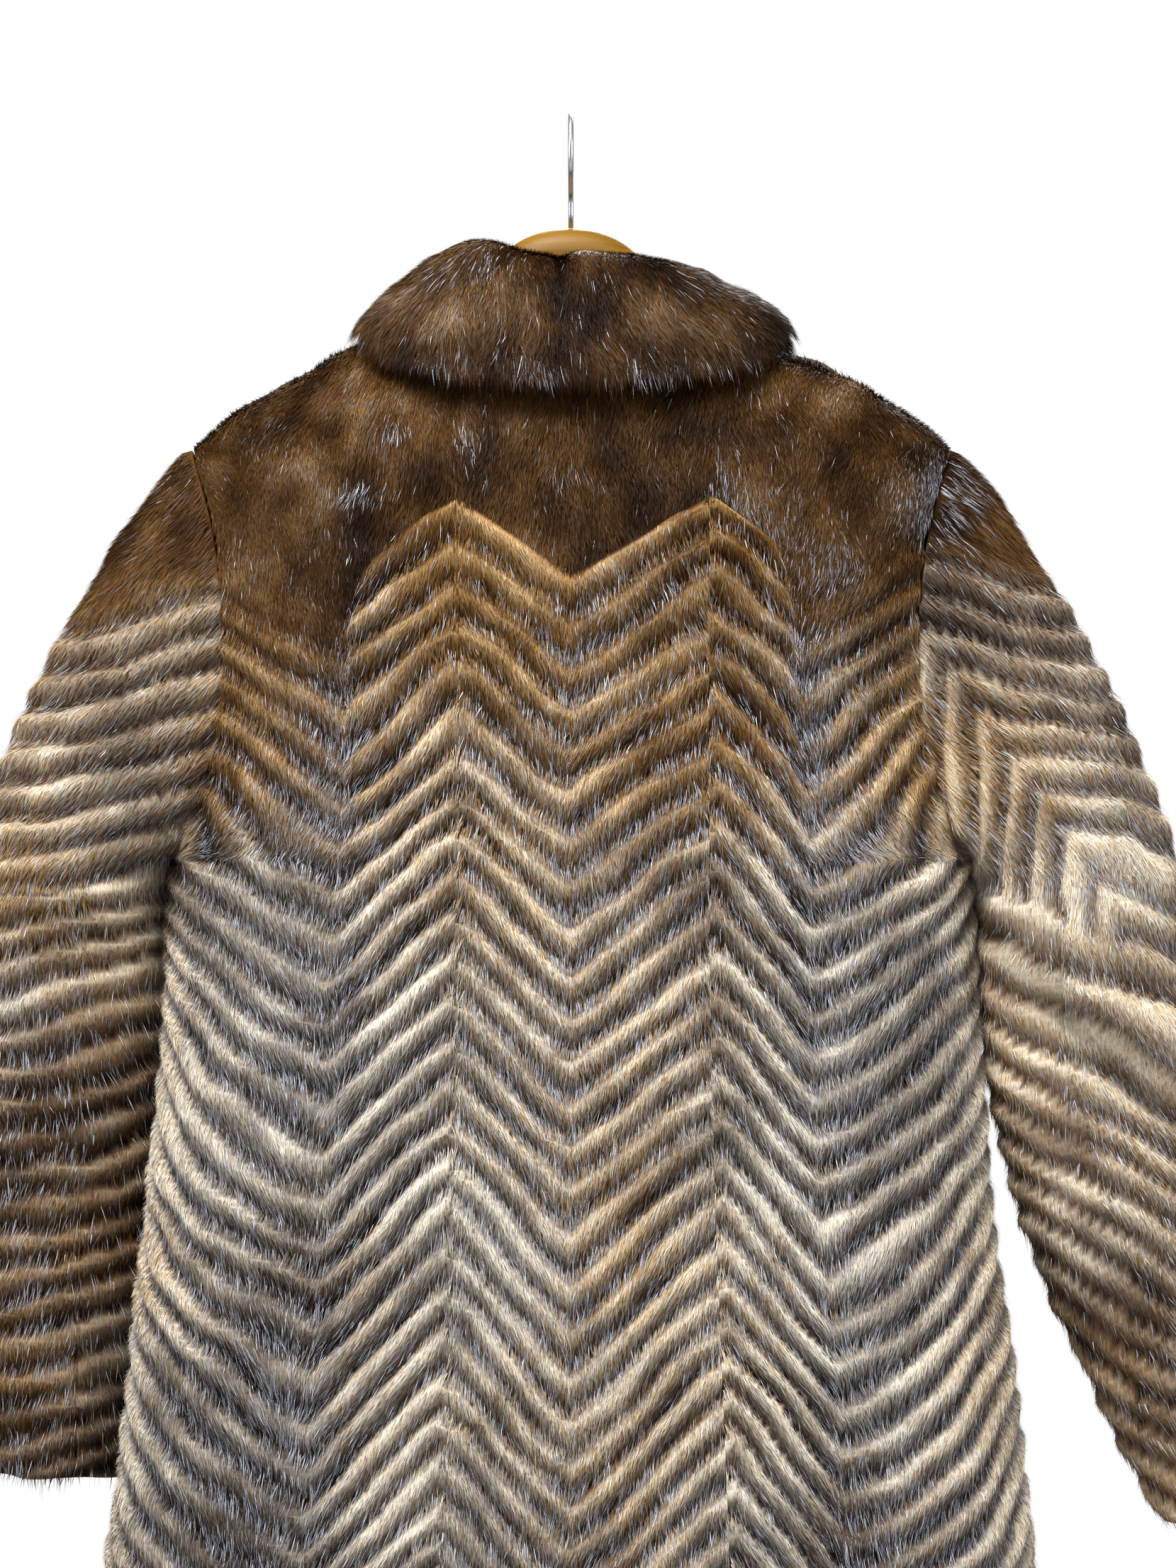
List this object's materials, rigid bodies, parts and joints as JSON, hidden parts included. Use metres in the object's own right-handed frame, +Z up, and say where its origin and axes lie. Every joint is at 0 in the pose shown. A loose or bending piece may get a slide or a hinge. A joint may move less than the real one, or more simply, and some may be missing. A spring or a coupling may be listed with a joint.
{
  "type": "fur coat on a hanger",
  "caption": "Mink fur coat on a wooden hanger, with a plain yoke, zigzag let-out strips and a fold-over collar.",
  "frame": {"origin": "inside top of the hanger's hook, where the rail carries it", "axes": "+Z up, -Y the way the coat faces, +X the wearer's left"},
  "size_m": [0.8264, 0.1834, 0.9838],
  "materials": {
    "fur_plain": "dense dark brown mink with silvery guard hairs",
    "fur_strips": "let-out mink strips, tan ridges over dark grooves",
    "hanger_wood": "golden honey satin lacquer",
    "hook_steel": "polished wire"
  },
  "bodies": {
    "root": {"back_yoke": "fur_plain", "back_right": "fur_strips", "back_center": "fur_strips", "back_left": "fur_strips", "front_left": "fur_strips", "front_right": "fur_strips", "sleeve_left_top": "fur_strips", "sleeve_left_under": "fur_strips", "sleeve_right_top": "fur_strips", "sleeve_right_under": "fur_strips", "collar_left": "fur_plain", "collar_right": "fur_plain", "hanger_bar": "hanger_wood", "hanger_hook": "hook_steel"}
  },
  "joints": []
}
